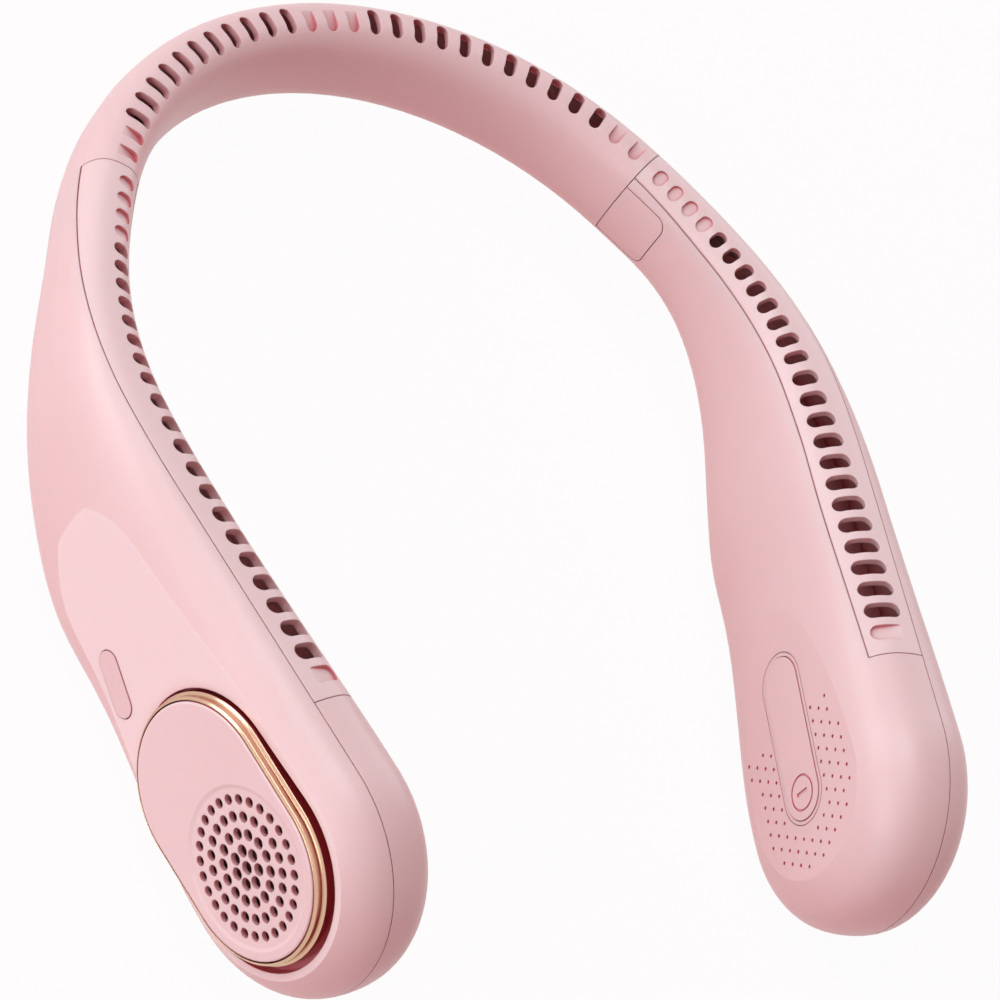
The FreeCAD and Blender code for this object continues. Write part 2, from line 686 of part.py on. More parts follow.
def make_shells():
    """Band shell, inner shells, vent strips, seam covers and duct dividers."""
    solid = rounded_form(0)
    walls = solid.cut(rounded_form(size("wall")))
    far_end = past_seam("arm_length") + 2 * size("pod_half_height")
    seam = size("nape_length")
    parting = value(PARTING)
    gap = size("parting_gap")
    depth = 3 * size("pod_half_height")
    neck_reach = 2 * size("pod_half_thick")
    open_side = band_block(-neck_reach, parting, seam, far_end, -depth, depth)
    inner_side = band_block(-neck_reach, parting - gap, seam + gap, far_end, -depth, depth)
    strip_side = value(STRIP_SIDE)
    strip_end = past_seam("strip_length")
    strip_low = -size("strip_skirt")
    strip_room = band_block(strip_side - gap, parting, seam, strip_end + gap, strip_low - gap, depth)
    strip_block = band_block(strip_side, parting - gap, seam + gap, strip_end, strip_low, depth)

    shell = walls.cut([open_side, mirrored(open_side)])
    for side in SIDES:
        shell = shell.fuse(pocket_block(side, 0).common(solid))
    cutters = nape_slots()
    for side in SIDES:
        pocket = pill_block(value(POCKET), size("intake_span"), value(POCKET_LEVEL), value(COVER_TOP),
                            size("pocket_taper"))
        inlet = Part.makeCylinder(value(INLET), value(COVER_TOP))
        cutters += [placed(cut, pod_frame(side)) for cut in (pocket, inlet)]
    mode_room = pill_block(value("mode_radius + parting_gap"), size("mode_span"),
                           value("outer_flat - wall - wall"), value(COVER_TOP))
    cutters.append(placed(mode_room, pod_frame("left").multiply(mode_place())))
    cutters.append(socket_room())
    feature("neck_band_shell", shell.cut(cutters))

    tab_room, tab = tab_blocks(gap)
    posts = []
    for x, y in post_places():
        low = value(INNER_FACE + " - seat_gap")
        post = Part.makeCylinder(size("post_radius"), value(FAN_BASE) - low, Vector(x, y, low))
        hole = Part.makeCylinder(value("screw_shank + press_gap"), size("screw_length"),
                                 Vector(x, y, value(SCROLL_TOP + " - screw_length")))
        posts.append(placed(post.cut(hole), pod_frame("right")))
    inner = walls.common(inner_side).cut([strip_room, tab_room]).fuse(posts)
    bezel_room = pill_block(value("power_radius + bezel_width + parting_gap + parting_gap"),
                            size("power_span"), -size("pod_half_thick"), value(FAN_BASE))
    bezel_room = placed(bezel_room, pod_frame("right").multiply(power_place()))
    feature("right_inner_shell", inner.cut([bezel_room] + pinholes()))
    feature("left_inner_shell", mirrored(inner))

    strip = walls.common(strip_block).cut(arm_slots())
    cover = walls.common(tab).common(inner_side).cut(strip_room)
    level = value(DIVIDER_LEVEL)
    half = size("divider_half_thick")
    slice_block = band_block(-neck_reach, neck_reach, past_seam("divider_start"), past_seam("divider_end"),
                             level - half, level + half)
    divider = rounded_form(value("wall + divider_gap")).common(slice_block)
    divider = divider.cut(pocket_block("right", size("divider_gap")))
    for name, shape in (("vent_strip", strip), ("seam_cover", cover), ("duct_divider", divider)):
        feature("right_" + name, shape)
        feature("left_" + name, mirrored(shape))


def pocket_block(side, gap):
    """Floor and wall round the intake pocket as one block, grown by a gap."""
    block = pill_block(value(POCKET + " + wall") + gap, size("intake_span"),
                       value(SCROLL_RIM + " + seat_gap") - gap, value(COVER_TOP))
    return placed(block, pod_frame(side))


def tab_blocks(gap):
    """Room for the seam cover and the cover's own outline, both reaching back past the seam."""
    middle = size("nape_length") + 0.5 * size("tab_length")
    turn = Rotation(forward(middle), UP, forward(middle).cross(UP), "ZXY")
    frame = Placement(plan_point(middle, 0, 0), turn)
    half = 0.5 * size("tab_length")
    rear = half + size("tab_corner")
    blocks = []
    for trim in (0.0, gap):
        low = Vector(-rear, -size("tab_bottom") + trim, 0)
        height = value("tab_bottom - tab_top") - 2 * trim
        block = Part.makeBox(rear + half - trim, height, size("tab_depth"), low)
        block.translate(Vector(0, 0, size("band_half_thick") - size("tab_depth")))
        far_edges = [edge for edge in block.Edges if edge.BoundBox.XMin > 0 and edge.BoundBox.ZLength > gap
                     and edge.BoundBox.YLength < gap]
        blocks.append(placed(block.makeFillet(size("tab_corner") - trim, far_edges), frame))
    return blocks


def post_places():
    """Four posts behind the scroll, in the pod frame."""
    reach = value(POST_OFFSET)
    return [(x, y) for x in (-reach, reach) for y in (-reach, reach)]


def mode_place():
    """Place of the left outer button: its front end and its tilt."""
    return Placement(Vector(-size("mode_front"), rise("left") * value(PLAN_HEIGHT + " - mode_level"), 0),
                     Rotation(UP, -rise("left") * size("mode_tilt")))


def power_place():
    """Place of the right inner button: its round front end lies just under the fan axis."""
    return Placement(Vector(0, -rise("right") * size("power_drop"), 0),
                     Rotation(UP, -rise("right") * size("power_tilt")))


def socket_place():
    """Place of the charging socket: mouth just inside the belly, Z into the arm, X along the board."""
    station = value("nape_length + arm_length - socket_place")
    offset = value(SOCKET_LEVEL)
    belly = 2 * section_middle(station) - surface_level(station, offset)
    mouth = belly - section_middle(past_seam("arm_length")) + size("socket_recess")
    inward = Vector(0, rise("right"), 0)
    turn = Rotation(LEFT_RIGHT, inward.cross(LEFT_RIGHT), inward, "ZXY")
    along = 0.5 * size("socket_span") - size("socket_place")
    return Placement(Vector(along, rise("right") * mouth, offset), turn)


def socket_room():
    """Opening under the right arm for the charging socket."""
    room = pill_block(value("socket_radius + socket_clear"), size("socket_span"), -size("socket_depth"),
                      size("socket_depth"))
    return placed(room, pod_frame("right").multiply(socket_place()))


def pinholes():
    """Rows of pinholes on the right inner flat, along the power button and round its front end."""
    pitch = size("pinhole_pitch")
    keep = value("power_radius + parting_gap + bezel_width + pinhole_gap")
    limit = value("panel_half_height - pinhole_margin")
    count = int(2 * limit / pitch)
    holes = []
    for row in range(-count, count + 1):
        for column in range(-count, count + 1):
            spot = Vector(pitch * (column + 0.5 * (row + 1)), pitch * row * math.sqrt(0.75), 0)
            off = math.hypot(spot.x - min(max(spot.x, -size("power_span")), 0.0), spot.y)
            spot = power_place().multVec(spot)
            within = math.hypot(max(spot.x, 0.0), spot.y) < limit
            if spot.x > -size("pinhole_reach") and off > keep and within:
                foot = Vector(spot.x, spot.y, -size("inner_flat") - size("pinhole_depth"))
                hole = Part.makeCylinder(size("pinhole_radius"), 2 * size("pinhole_depth"), foot)
                holes.append(placed(hole, pod_frame("right")))
    return holes


# Intake

def make_intake(side):
    """Dust mesh, perforated cover and stepped trim ring on the outer flat."""
    mesh = body_named(side + "_dust_mesh", side)
    disc(mesh, MESH, SEAT, "mesh_thick")

    cover = body_named(side + "_intake_cover", side)
    block = pill_pad(cover, COVER, "intake_span", SEAT, COVER_HEIGHT)
    round_edges(cover, block, "cover_edge", lambda box: box.ZMin > value("outer_flat"))
    pill_cut(cover, COVER + " - cover_skirt", "intake_span", SEAT, COVER_HEIGHT + " - cover_thick")
    dish = bore(cover, DISH, COVER_TOP + " - dish_depth", "cover_proud")
    dish.setExpression("TaperAngle", formula("dish_slope"))
    radius = scaled(str(0.5 / HOLE_RINGS), HOLE_FIELD) + " - hole_web"
    bore(cover, radius, SEAT, COVER_HEIGHT)
    for ring in range(1, HOLE_RINGS + 1):
        radius += " - hole_shrink"
        reach = scaled(str(ring / HOLE_RINGS), HOLE_FIELD)
        repeated(cover, bore(cover, radius, SEAT, COVER_HEIGHT, reach), HOLES_PER_RING * ring)

    ring = body_named(side + "_trim_ring", side)
    step = pill_pad(ring, RING_LOW, "intake_span", SEAT, COVER_HEIGHT + " - ring_low_step")
    bevel_edges(ring, step, "ring_bevel", lambda box: box.ZMin > value("outer_flat"))
    step = pill_pad(ring, RING_TOP, "intake_span", SEAT, COVER_HEIGHT + " - ring_top_step")
    between = value(COVER_TOP + " - 0.5 * ring_low_step - 0.5 * ring_top_step")
    bevel_edges(ring, step, "ring_bevel", lambda box: box.ZMin > between)
    pill_cut(ring, COVER + " + ring_gap", "intake_span", SEAT, COVER_HEIGHT)


# Blower

def upright(side, low, high):
    """Two heights above the fan axis as limits along the pod frame's Y."""
    return (low, high) if rise(side) > 0 else (negated(high), negated(low))


def make_scroll(side):
    """Scroll housing with the bearing tube and an outlet into the duct of the arm."""
    scroll = body_named(side + "_fan_scroll", side)
    disc(scroll, SCROLL, FAN_BASE, "scroll_floor")
    ring_pad(scroll, SCROLL, SCROLL + " - scroll_wall", FAN_BASE, SCROLL_HEIGHT)
    disc(scroll, "tube_radius", FAN_BASE, "scroll_floor + tube_height")
    bore(scroll, "bearing_radius + press_gap", SCROLL_TOP, "tube_height")
    for x in (POST_OFFSET, negated(POST_OFFSET)):
        for y in (POST_OFFSET, negated(POST_OFFSET)):
            bore(scroll, "screw_shank + press_gap", FAN_BASE, "scroll_floor", x, y)
    outlet = sketch_at(scroll, SCROLL_TOP)
    add_box(outlet, negated(SCROLL), "- outlet_start", *upright(side, "outlet_low", SCROLL))
    carve(scroll, outlet, SCROLL_HEIGHT)


def make_motor(side):
    """Sleeve bearing and stator on the scroll's tube; rotor cup, magnet ring and shaft that turn."""
    bearing = body_named(side + "_bearing", side)
    ring_pad(bearing, "bearing_radius", "shaft_radius + shaft_gap", SCROLL_TOP + " + seat_gap",
             "tube_height - seat_gap")

    stator = body_named(side + "_motor_stator", side)
    stator_radius = MAGNET_BORE + " - air_gap"
    ring_pad(stator, stator_radius, "tube_radius + press_gap", STATOR_BASE, "stator_height")
    slot = sketch_at(stator, STATOR_BASE)
    add_box(slot, "tube_radius + stator_yoke", MAGNET_BORE, "- stator_slot_half", "stator_slot_half")
    repeated(stator, carve(stator, slot, "stator_height"), STATOR_POLES)

    cup = body_named(side + "_rotor_cup", side)
    disc(cup, "rotor_radius", ROTOR_BASE, "rotor_height")
    bore(cup, "rotor_radius - rotor_wall", ROTOR_BASE, "rotor_height - rotor_wall")
    disc(cup, "shaft_radius", SCROLL_TOP + " + seat_gap + seat_gap", SHAFT_LENGTH)

    magnet = body_named(side + "_magnet_ring", side)
    ring_pad(magnet, "rotor_radius - rotor_wall - press_gap", MAGNET_BORE, STATOR_BASE, "magnet_height")


def make_impeller(side):
    """Bladed wheel pressed over the rotor cup."""
    wheel = body_named(side + "_impeller", side)
    seat = "rotor_radius + press_gap"
    disc(wheel, seat + " + hub_wall", IMPELLER_BASE, "hub_height")
    ring_pad(wheel, WHEEL, seat, IMPELLER_BASE, "impeller_plate")
    bore(wheel, seat, IMPELLER_BASE, "hub_height - hub_wall")
    blade = sketch_at(wheel, IMPELLER_BASE)
    add_box(blade, seat + " + hub_wall + blade_root", WHEEL + " - blade_half_thick", "- blade_half_thick",
            "blade_half_thick")
    repeated(wheel, grow(wheel, blade, WHEEL_HEIGHT), BLADES)
    top = SCROLL_RIM + " - wheel_top_gap - impeller_plate"
    ring_pad(wheel, WHEEL, WHEEL + " - hub_wall", top, "impeller_plate")


def make_screws(side):
    """Four screws through the scroll into the posts."""
    half_slot = 0.2 * size("screw_head")
    head = Part.makeCylinder(size("screw_head"), size("screw_head_height"))
    shank = Part.makeCylinder(size("screw_shank"), size("screw_length"), Vector(0, 0, -size("screw_length")))
    corner = Vector(-size("screw_head"), -half_slot, value("screw_head_height - screw_recess"))
    slot = Part.makeBox(2 * size("screw_head"), 2 * half_slot, size("screw_recess"), corner)
    for number, (x, y) in enumerate(post_places(), start=1):
        name = "%s_screw_%d" % (side, number)
        item = doc.addObject("Part::Feature", name)
        item.Shape = head.fuse(shank).cut(slot)
        listed(item, name, pod_frame(side).multiply(Placement(Vector(x, y, value(SCROLL_TOP)), Rotation())))


# Battery, circuit board, cable and charging socket

def make_electronics(side):
    """Battery cell, its tray and the circuit board of one arm."""
    cell = body_named(side + "_battery", side)
    block = slab(cell, negated(CELL_BACK), negated(CELL_FRONT), *upright(side, CELL_LOW, CELL_TOP),
                 CELL_BASE, "cell_thick")
    round_edges(cell, block, "cell_edge", lambda box: box.ZLength > size("cell_edge"))

    tray = body_named(side + "_cell_tray", side)
    tray_top = CELL_TOP + " + cell_top_gap - seat_gap"
    slab(tray, negated(CELL_BACK) + " - tray_margin", negated(CELL_FRONT),
         *upright(side, CELL_LOW, tray_top), TRAY_LEVEL, "tray_thick")
    front = negated(BOARD_FRONT) + " - tray_post_inset"
    back = negated(BOARD_FRONT) + " - board_length + tray_post_inset"
    for x in (front, back):
        for height in upright(side, CELL_LOW + " + tray_post_rise", BOARD_TOP + " - tray_post_inset"):
            post = sketch_at(tray, TRAY_LEVEL)
            add_circle(post, "tray_post", x, height)
            grow(tray, post, "tray_thick + tray_post_height")

    board = body_named(side + "_circuit_board", side)
    board_end = negated(BOARD_FRONT) + " - board_length"
    slab(board, board_end, negated(BOARD_FRONT), *upright(side, BOARD_LOW, BOARD_TOP),
         BOARD_BACK, "board_thick")
    chip_back = board_end + " + chip_inset"
    chip = upright(side, BOARD_TOP + " - chip_inset - chip_height", BOARD_TOP + " - chip_inset")
    slab(board, chip_back, chip_back + " + chip_length", *chip, BOARD_BACK, "board_thick + chip_thick")


def make_cable():
    """Cable through the band that joins the two arms."""
    end = value("nape_length + arm_length - cable_end_gap") - value(CELL_BACK)
    half = plan_edges(size("cable_offset"), 0, end, value(CABLE_LEVEL))
    path = Part.Wire(Part.__sortEdges__([mirrored(edge) for edge in half] + half))
    start = path.OrderedVertexes[0].Point
    along = path.OrderedEdges[0].tangentAt(path.OrderedEdges[0].FirstParameter)
    ring = Part.Wire(Part.makeCircle(size("cable_radius"), start, along))
    feature("link_cable", path.makePipeShell([ring], True, False))


def make_socket():
    """Charging socket on the right board: an oval metal sleeve, closed at the back, with a tongue."""
    socket = body_named("usb_socket", "right", socket_place())
    pill_pad(socket, "socket_radius", "socket_span", "0", "socket_depth")
    pill_cut(socket, "socket_radius - socket_wall", "socket_span", "0", "socket_depth - socket_back")
    slab(socket, "- socket_span - tongue_reach", "tongue_reach", "- tongue_half_thick", "tongue_half_thick",
         "tongue_set_back", "socket_depth - tongue_set_back")


# Buttons and their switches

def make_mode_button():
    """Pill button of the left outer flat and the switch under it."""
    button = body_named("left_mode_button", "left", mode_place())
    pill_pad(button, "mode_radius + flange_width", "mode_span", MODE_FLANGE, "flange_thick")
    cap_height = "flange_thick + button_gap + wall + button_proud"
    pill_pad(button, "mode_radius", "mode_span", MODE_FLANGE, cap_height)

    middle = mode_place().multiply(Placement(Vector(-0.5 * size("mode_span"), 0, 0), Rotation()))
    switch = body_named("left_mode_switch", "left", middle)
    square_block(switch, BOARD_FACE, MODE_FLANGE + " - button_press " + negated(BOARD_FACE))


def make_power_button():
    """Pill button of the right inner flat with its bezel, switch and switch board."""
    button = body_named("right_power_button", "right", power_place())
    pill_pad(button, "power_radius", "power_span", POWER_TOP, POWER_BACK + " " + negated(POWER_TOP))
    pill_pad(button, "power_radius + flange_width", "power_span", POWER_FLANGE, "flange_thick")
    ring = sketch_at(button, POWER_TOP)
    add_circle(ring, "symbol_radius")
    add_circle(ring, "symbol_radius - symbol_line")
    carve(button, ring, "symbol_depth")
    bar = sketch_at(button, POWER_TOP)
    add_box(bar, "- symbol_line", "symbol_line", "- symbol_bar", "symbol_bar")
    carve(button, bar, "symbol_depth")

    bezel = body_named("right_power_bezel", "right", power_place())
    pill_pad(bezel, "power_radius + parting_gap + bezel_width", "power_span", "- inner_flat", "bezel_depth")
    pill_cut(bezel, "power_radius + parting_gap", "power_span", "- inner_flat", "bezel_depth")

    board = body_named("right_switch_board", "right")
    slab(board, "switch_board_front - switch_board_length", "switch_board_front", "- switch_board_half_width",
         "switch_board_half_width", SWITCH_BOARD, "switch_board_thick")

    middle = Vector(value("switch_board_front") - 0.5 * value("switch_board_length"), 0, 0)
    switch = body_named("right_power_switch", "right", Placement(middle, Rotation()))
    level = POWER_BACK + " + button_press"
    square_block(switch, level, SWITCH_BOARD + " " + negated(level))


def square_block(body, level, height):
    """Small switch housing."""
    low, high = "- switch_half_side", "switch_half_side"
    slab(body, low, high, low, high, level, height)


def write_sub_parts():
    """Check every object, then write one file for each sub-part."""
    doc.recompute()
    failed = [item.Label for item in doc.Objects if "Invalid" in item.State or "Error" in item.State]
    failed += [item.Label for item in sub_parts if item.Shape.isNull() or not item.Shape.isValid()]
    if failed:
        raise RuntimeError("failed: " + ", ".join(failed))
    os.makedirs("parts", exist_ok=True)
    for item in sub_parts:
        item.Shape.exportStep("parts/%s.step" % item.Label)
        print(item.Label, len(item.Shape.Solids), "solid", round(item.Shape.Volume, 1), "mm3")


make_shells()
make_cable()
make_socket()
make_mode_button()
make_power_button()
for side in SIDES:
    make_intake(side)
    make_scroll(side)
    make_motor(side)
    make_impeller(side)
    make_screws(side)
    make_electronics(side)
write_sub_parts()
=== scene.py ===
"""Electric neck fan: finishes, stage and camera round the fixed frame of the part."""
import json
import math

import bpy
from bpy.props import FloatProperty, FloatVectorProperty, PointerProperty
from bpy.types import Operator, Panel, PropertyGroup
from mathutils import Euler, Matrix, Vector


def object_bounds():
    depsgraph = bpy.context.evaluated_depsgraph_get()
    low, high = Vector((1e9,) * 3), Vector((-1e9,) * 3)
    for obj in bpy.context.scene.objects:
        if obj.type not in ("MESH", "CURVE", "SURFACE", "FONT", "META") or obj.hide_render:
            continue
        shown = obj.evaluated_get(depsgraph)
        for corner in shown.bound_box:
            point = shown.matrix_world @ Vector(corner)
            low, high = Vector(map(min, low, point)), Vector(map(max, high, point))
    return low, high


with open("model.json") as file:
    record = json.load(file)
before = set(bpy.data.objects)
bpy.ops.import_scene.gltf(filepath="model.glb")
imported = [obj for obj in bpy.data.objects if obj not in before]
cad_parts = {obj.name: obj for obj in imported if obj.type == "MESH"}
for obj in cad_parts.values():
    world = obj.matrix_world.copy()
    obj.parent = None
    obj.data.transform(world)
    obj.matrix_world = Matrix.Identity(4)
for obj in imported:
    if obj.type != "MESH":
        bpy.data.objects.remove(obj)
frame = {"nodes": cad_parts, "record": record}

bl_info = {
    "name": "Neck fan finishes",
    "version": (1, 0, 0),
    "blender": (4, 5, 0),
    "location": "View3D > Sidebar > Neck Fan",
    "description": "Moulded, plated and woven finishes of a neck fan, with a pale studio stage",
    "category": "Object",
}

CAD_BOX = [[float(number) for number in corner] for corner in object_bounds()]
JOINTS = {joint["name"]: joint for joint in frame["record"]["behaviour"]["joints"]}
SIDES = ("left", "right")
MM = 0.001
WHITE = (1, 1, 1, 1)

# Planes square to a fan's axis, in millimetres outward from the point of its joint
# Beyond OUTER_FLAT the flats are glossier and carry a paler painted sheen
OUTER_FLAT = 13.0
# Below RING_STEP the feet of the trim rings carry painted shade
RING_STEP = 13.8
# A mask rises from 0 to 1 between these depths under its plane, in millimetres
MASK_START = 0.08
MASK_END = 0.02

ABS_IOR = 1.53
FLOW_WIDTH = 30.0  # mm, width of the clouds that the flowing melt leaves
GRAIN_SPREAD = 0.05  # roughness that the grain adds and takes away
GRAIN_DEPTH = 0.02  # mm
GLOW_DEPTH = (0.004, 0.0015, 0.0012)  # m that red, green and blue go under the surface
# Painted shade: slots and gaps turn a deeper pink, the more closed in they are
PAINTED_SHADE_SHUT = 0.3  # open share at which a wall is all painted shade
PAINTED_SHADE_OPEN = 0.9  # open share at which it keeps its own colour, free of painted shade

# Polishing lines per millimetre along X, Y and Z. Real ones are some hundredths of a
# millimetre wide: these are drawn coarser, so that they show.
POLISH_LINES = (0.2, 0.2, 6.0)

# Sheen and tone of the inner pieces
SHEEN_SPREAD = 0.06
SPECK_TONE = 0.76  # share of the colour that is left in the darkest specks

CAMERA_PLACE = (-0.74516, -0.42317, 0.94013)  # m
CAMERA_TURN = (31.2856, -31.6223, -20.3312)  # degrees
FILM_WIDTH = 36  # mm
VIEW_END = 50  # m
FLOOR_DROP = 0.2 * MM  # keeps the floor clear of the underside

# Soft boxes: name, metres from the middle of the fan, and the setting that holds the power
SOFT_BOXES = (
    ("top_box", (-0.8, 0.8, 2.2), "top_power"),
    ("back_box", (-1.85, 1.45, 0.7), "back_power"),
    ("front_box", (-2.15, -0.45, 0.65), "front_power"),
    ("right_box", (1.9, 1.0, 0.8), "right_power"),
)

# Sockets of the Mix node by place, because their names repeat
SHARE, NUMBER_A, NUMBER_B, COLOUR_A, COLOUR_B = 0, 2, 3, 6, 7
MIXED_NUMBER, MIXED_COLOUR = 0, 2


def hex_colour(code):
    """Linear colour of an sRGB hex value."""
    shares = [int(code[i:i + 2], 16) / 255 for i in (1, 3, 5)]
    return [share / 12.92 if share <= 0.04045 else ((share + 0.055) / 1.055) ** 2.4
            for share in shares] + [1.0]


def colour_property(name, description, code):
    """Colour that a user may change."""
    return FloatVectorProperty(name=name, description=description, subtype="COLOR", size=4,
                               min=0, max=1, default=hex_colour(code))


def length_property(name, description, millimetres):
    """Length that a user may change."""
    return FloatProperty(name=name, description=description, subtype="DISTANCE", unit="LENGTH",
                         min=0, default=millimetres * MM)


def share_property(name, description, share):
    """Share from 0 to 1 that a user may change."""
    return FloatProperty(name=name, description=description, subtype="FACTOR", min=0, max=1,
                         default=share)


def power_property(name, description, watts):
    """Lamp power that a user may change."""
    return FloatProperty(name=name, description=description, subtype="POWER", min=0,
                         default=watts)


class NeckFanFinishes(PropertyGroup):
    """Colours and surface sizes of the fan."""

    shell_pink: colour_property("Shell pink", "Moulded colour of the shells", "#ECD3D4")
    shell_deep: colour_property("Shell deep pink", "Deeper tone that clouds the shells", "#E8CBCC")
    strip_pink: colour_property("Strip pink", "Moulded colour of the vent strips", "#EDD7D8")
    # Painted sheen: the outer flats are drawn in a paler tone that stands in for their gloss
    flat_painted_sheen: colour_property("Flat pink", "Paler tone of the polished flats", "#F5E4E5")
    cover_pink: colour_property("Cover pink", "Colour of the intake covers", "#F2DEDF")
    rose_gold: colour_property("Rose gold", "Plating of the trim rings", "#D6AF93")
    # Painted shade: dark pink drawn on the foot of each trim ring, down in its groove
    ring_foot_painted_shade: colour_property("Ring shade", "Painted shade on the foot of the rings", "#C08C8E")
    mesh_dark: colour_property("Filter thread", "Thread colour of the dust mesh", "#5C2B30")
    mesh_gap: colour_property("Filter gap", "Colour between the threads", "#150A0A")
    # Painted shade: the tone and reach of the deeper pink painted into slots and gaps
    crevice_painted_shade: colour_property("Crevice pink", "Tone of slots and gaps", "#D0606A")
    painted_shade_reach: length_property("Crevice reach", "Distance over which crevices redden", 5)
    # Real mould grain is finer than a tenth of a millimetre: it is drawn coarser, to show
    grain: length_property("Mould grain", "Grain of the spark-eroded mould", 0.35)
    # Real filter threads are about half as far apart: they are drawn coarser, to show
    thread: length_property("Filter thread spacing", "Spacing of the threads", 0.6)
    edge_round: length_property("Edge rounding", "Softening of the moulded edges", 0.35)
    ring_round: length_property("Ring rounding", "Softening of the trim rings' edges", 0.25)
    satin: share_property("Satin roughness", "Roughness of the shells", 0.46)
    gloss: share_property("Flat roughness", "Roughness of the polished flats", 0.16)
    cover_gloss: share_property("Cover roughness", "Roughness of the intake covers", 0.22)
    button_satin: share_property("Button roughness", "Roughness of the buttons", 0.3)


class NeckFanStage(PropertyGroup):
    """Light, floor and camera."""

    floor_tone: colour_property("Floor", "Colour that the floor throws back", "#F0B8B9")
    floor_white: share_property("Floor white", "Share of white that the floor shows", 0.96)
    floor_span: length_property("Floor span", "Width of the floor", 6000)
    lens: FloatProperty(name="Lens", description="Focal length of the camera on a 36 mm film",
                        subtype="DISTANCE_CAMERA", default=202.33, min=20)
    lamp_tint: colour_property("Lamp tint", "Cool daylight of the soft boxes", "#EEFCFF")
    box_side: length_property("Soft box side", "Width of each soft box", 1200)
    top_power: power_property("Top light", "Power of the soft box above", 20)
    back_power: power_property("Back light", "Power of the soft box behind on the left", 19)
    front_power: power_property("Front light", "Power of the soft box in front on the left", 15)
    right_power: power_property("Right light", "Power of the soft box behind on the right", 9)
    fill_pink: colour_property("Fill", "Colour of the even light all round", "#FFC2C3")
    fill_level: share_property("Fill level", "Strength of the even light all round", 0.4)


# Nodes

def set_inputs(tree, node, inputs):
    """Values and links of a node's sockets."""
    for key, entry in inputs.items():
        if isinstance(entry, bpy.types.NodeSocket):
            tree.links.new(entry, node.inputs[key])
        else:
            node.inputs[key].default_value = entry


def add_node(tree, kind, inputs=None, **settings):
    """Node with its settings, its values and its links."""
    node = tree.nodes.new(kind)
    for name, setting in settings.items():
        setattr(node, name, setting)
    set_inputs(tree, node, inputs or {})
    return node


def empty_tree(owner):
    """Cleared node tree of a material or a world."""
    owner.use_nodes = True
    owner.node_tree.nodes.clear()
    return owner.node_tree


def new_material(name):
    """Material with its shader, and the place on the piece in millimetres."""
    material = bpy.data.materials.new(name)
    tree = empty_tree(material)
    coords = add_node(tree, "ShaderNodeTexCoord")
    place = add_node(tree, "ShaderNodeVectorMath",
                     {0: coords.outputs["Object"], "Scale": 1 / MM}, operation="SCALE")
    shader = add_node(tree, "ShaderNodeBsdfPrincipled")
    add_node(tree, "ShaderNodeOutputMaterial", {"Surface": shader.outputs["BSDF"]})
    return material, tree, shader, place.outputs["Vector"]


def dress(names, material):
    """Give nodes of the frame a finish."""
    for name in names:
        for slot in frame["nodes"][name].material_slots:
            slot.material = material


def both(*names):
    """Names of the left and right copies."""
    return ["%s_%s" % (side, name) for name in names for side in SIDES]


# Finishes

def fan_planes(offset):
    """Axis and distance of a plane square to each fan's axis, at an offset in millimetres."""
    planes = []
    for side in SIDES:
        joint = JOINTS[side + "_fan_spin"]
        axis = Vector(joint["axis"]).normalized()
        planes.append((axis, axis.dot(Vector(joint["pos_m"])) / MM + offset))
    return planes


def plane_mask(tree, place, planes):
    """1 at and beyond the two planes of fan_planes, 0 under them."""
    masks = {}
    for number, (axis, distance) in enumerate(planes):
        reach = add_node(tree, "ShaderNodeVectorMath", {0: place, 1: axis},
                         operation="DOT_PRODUCT")
        mask = add_node(tree, "ShaderNodeMapRange",
                        {"Value": reach.outputs["Value"], "From Min": distance - MASK_START,
                         "From Max": distance - MASK_END})
        masks[number] = mask.outputs[0]
    return add_node(tree, "ShaderNodeMath", masks, operation="MAXIMUM").outputs[0]


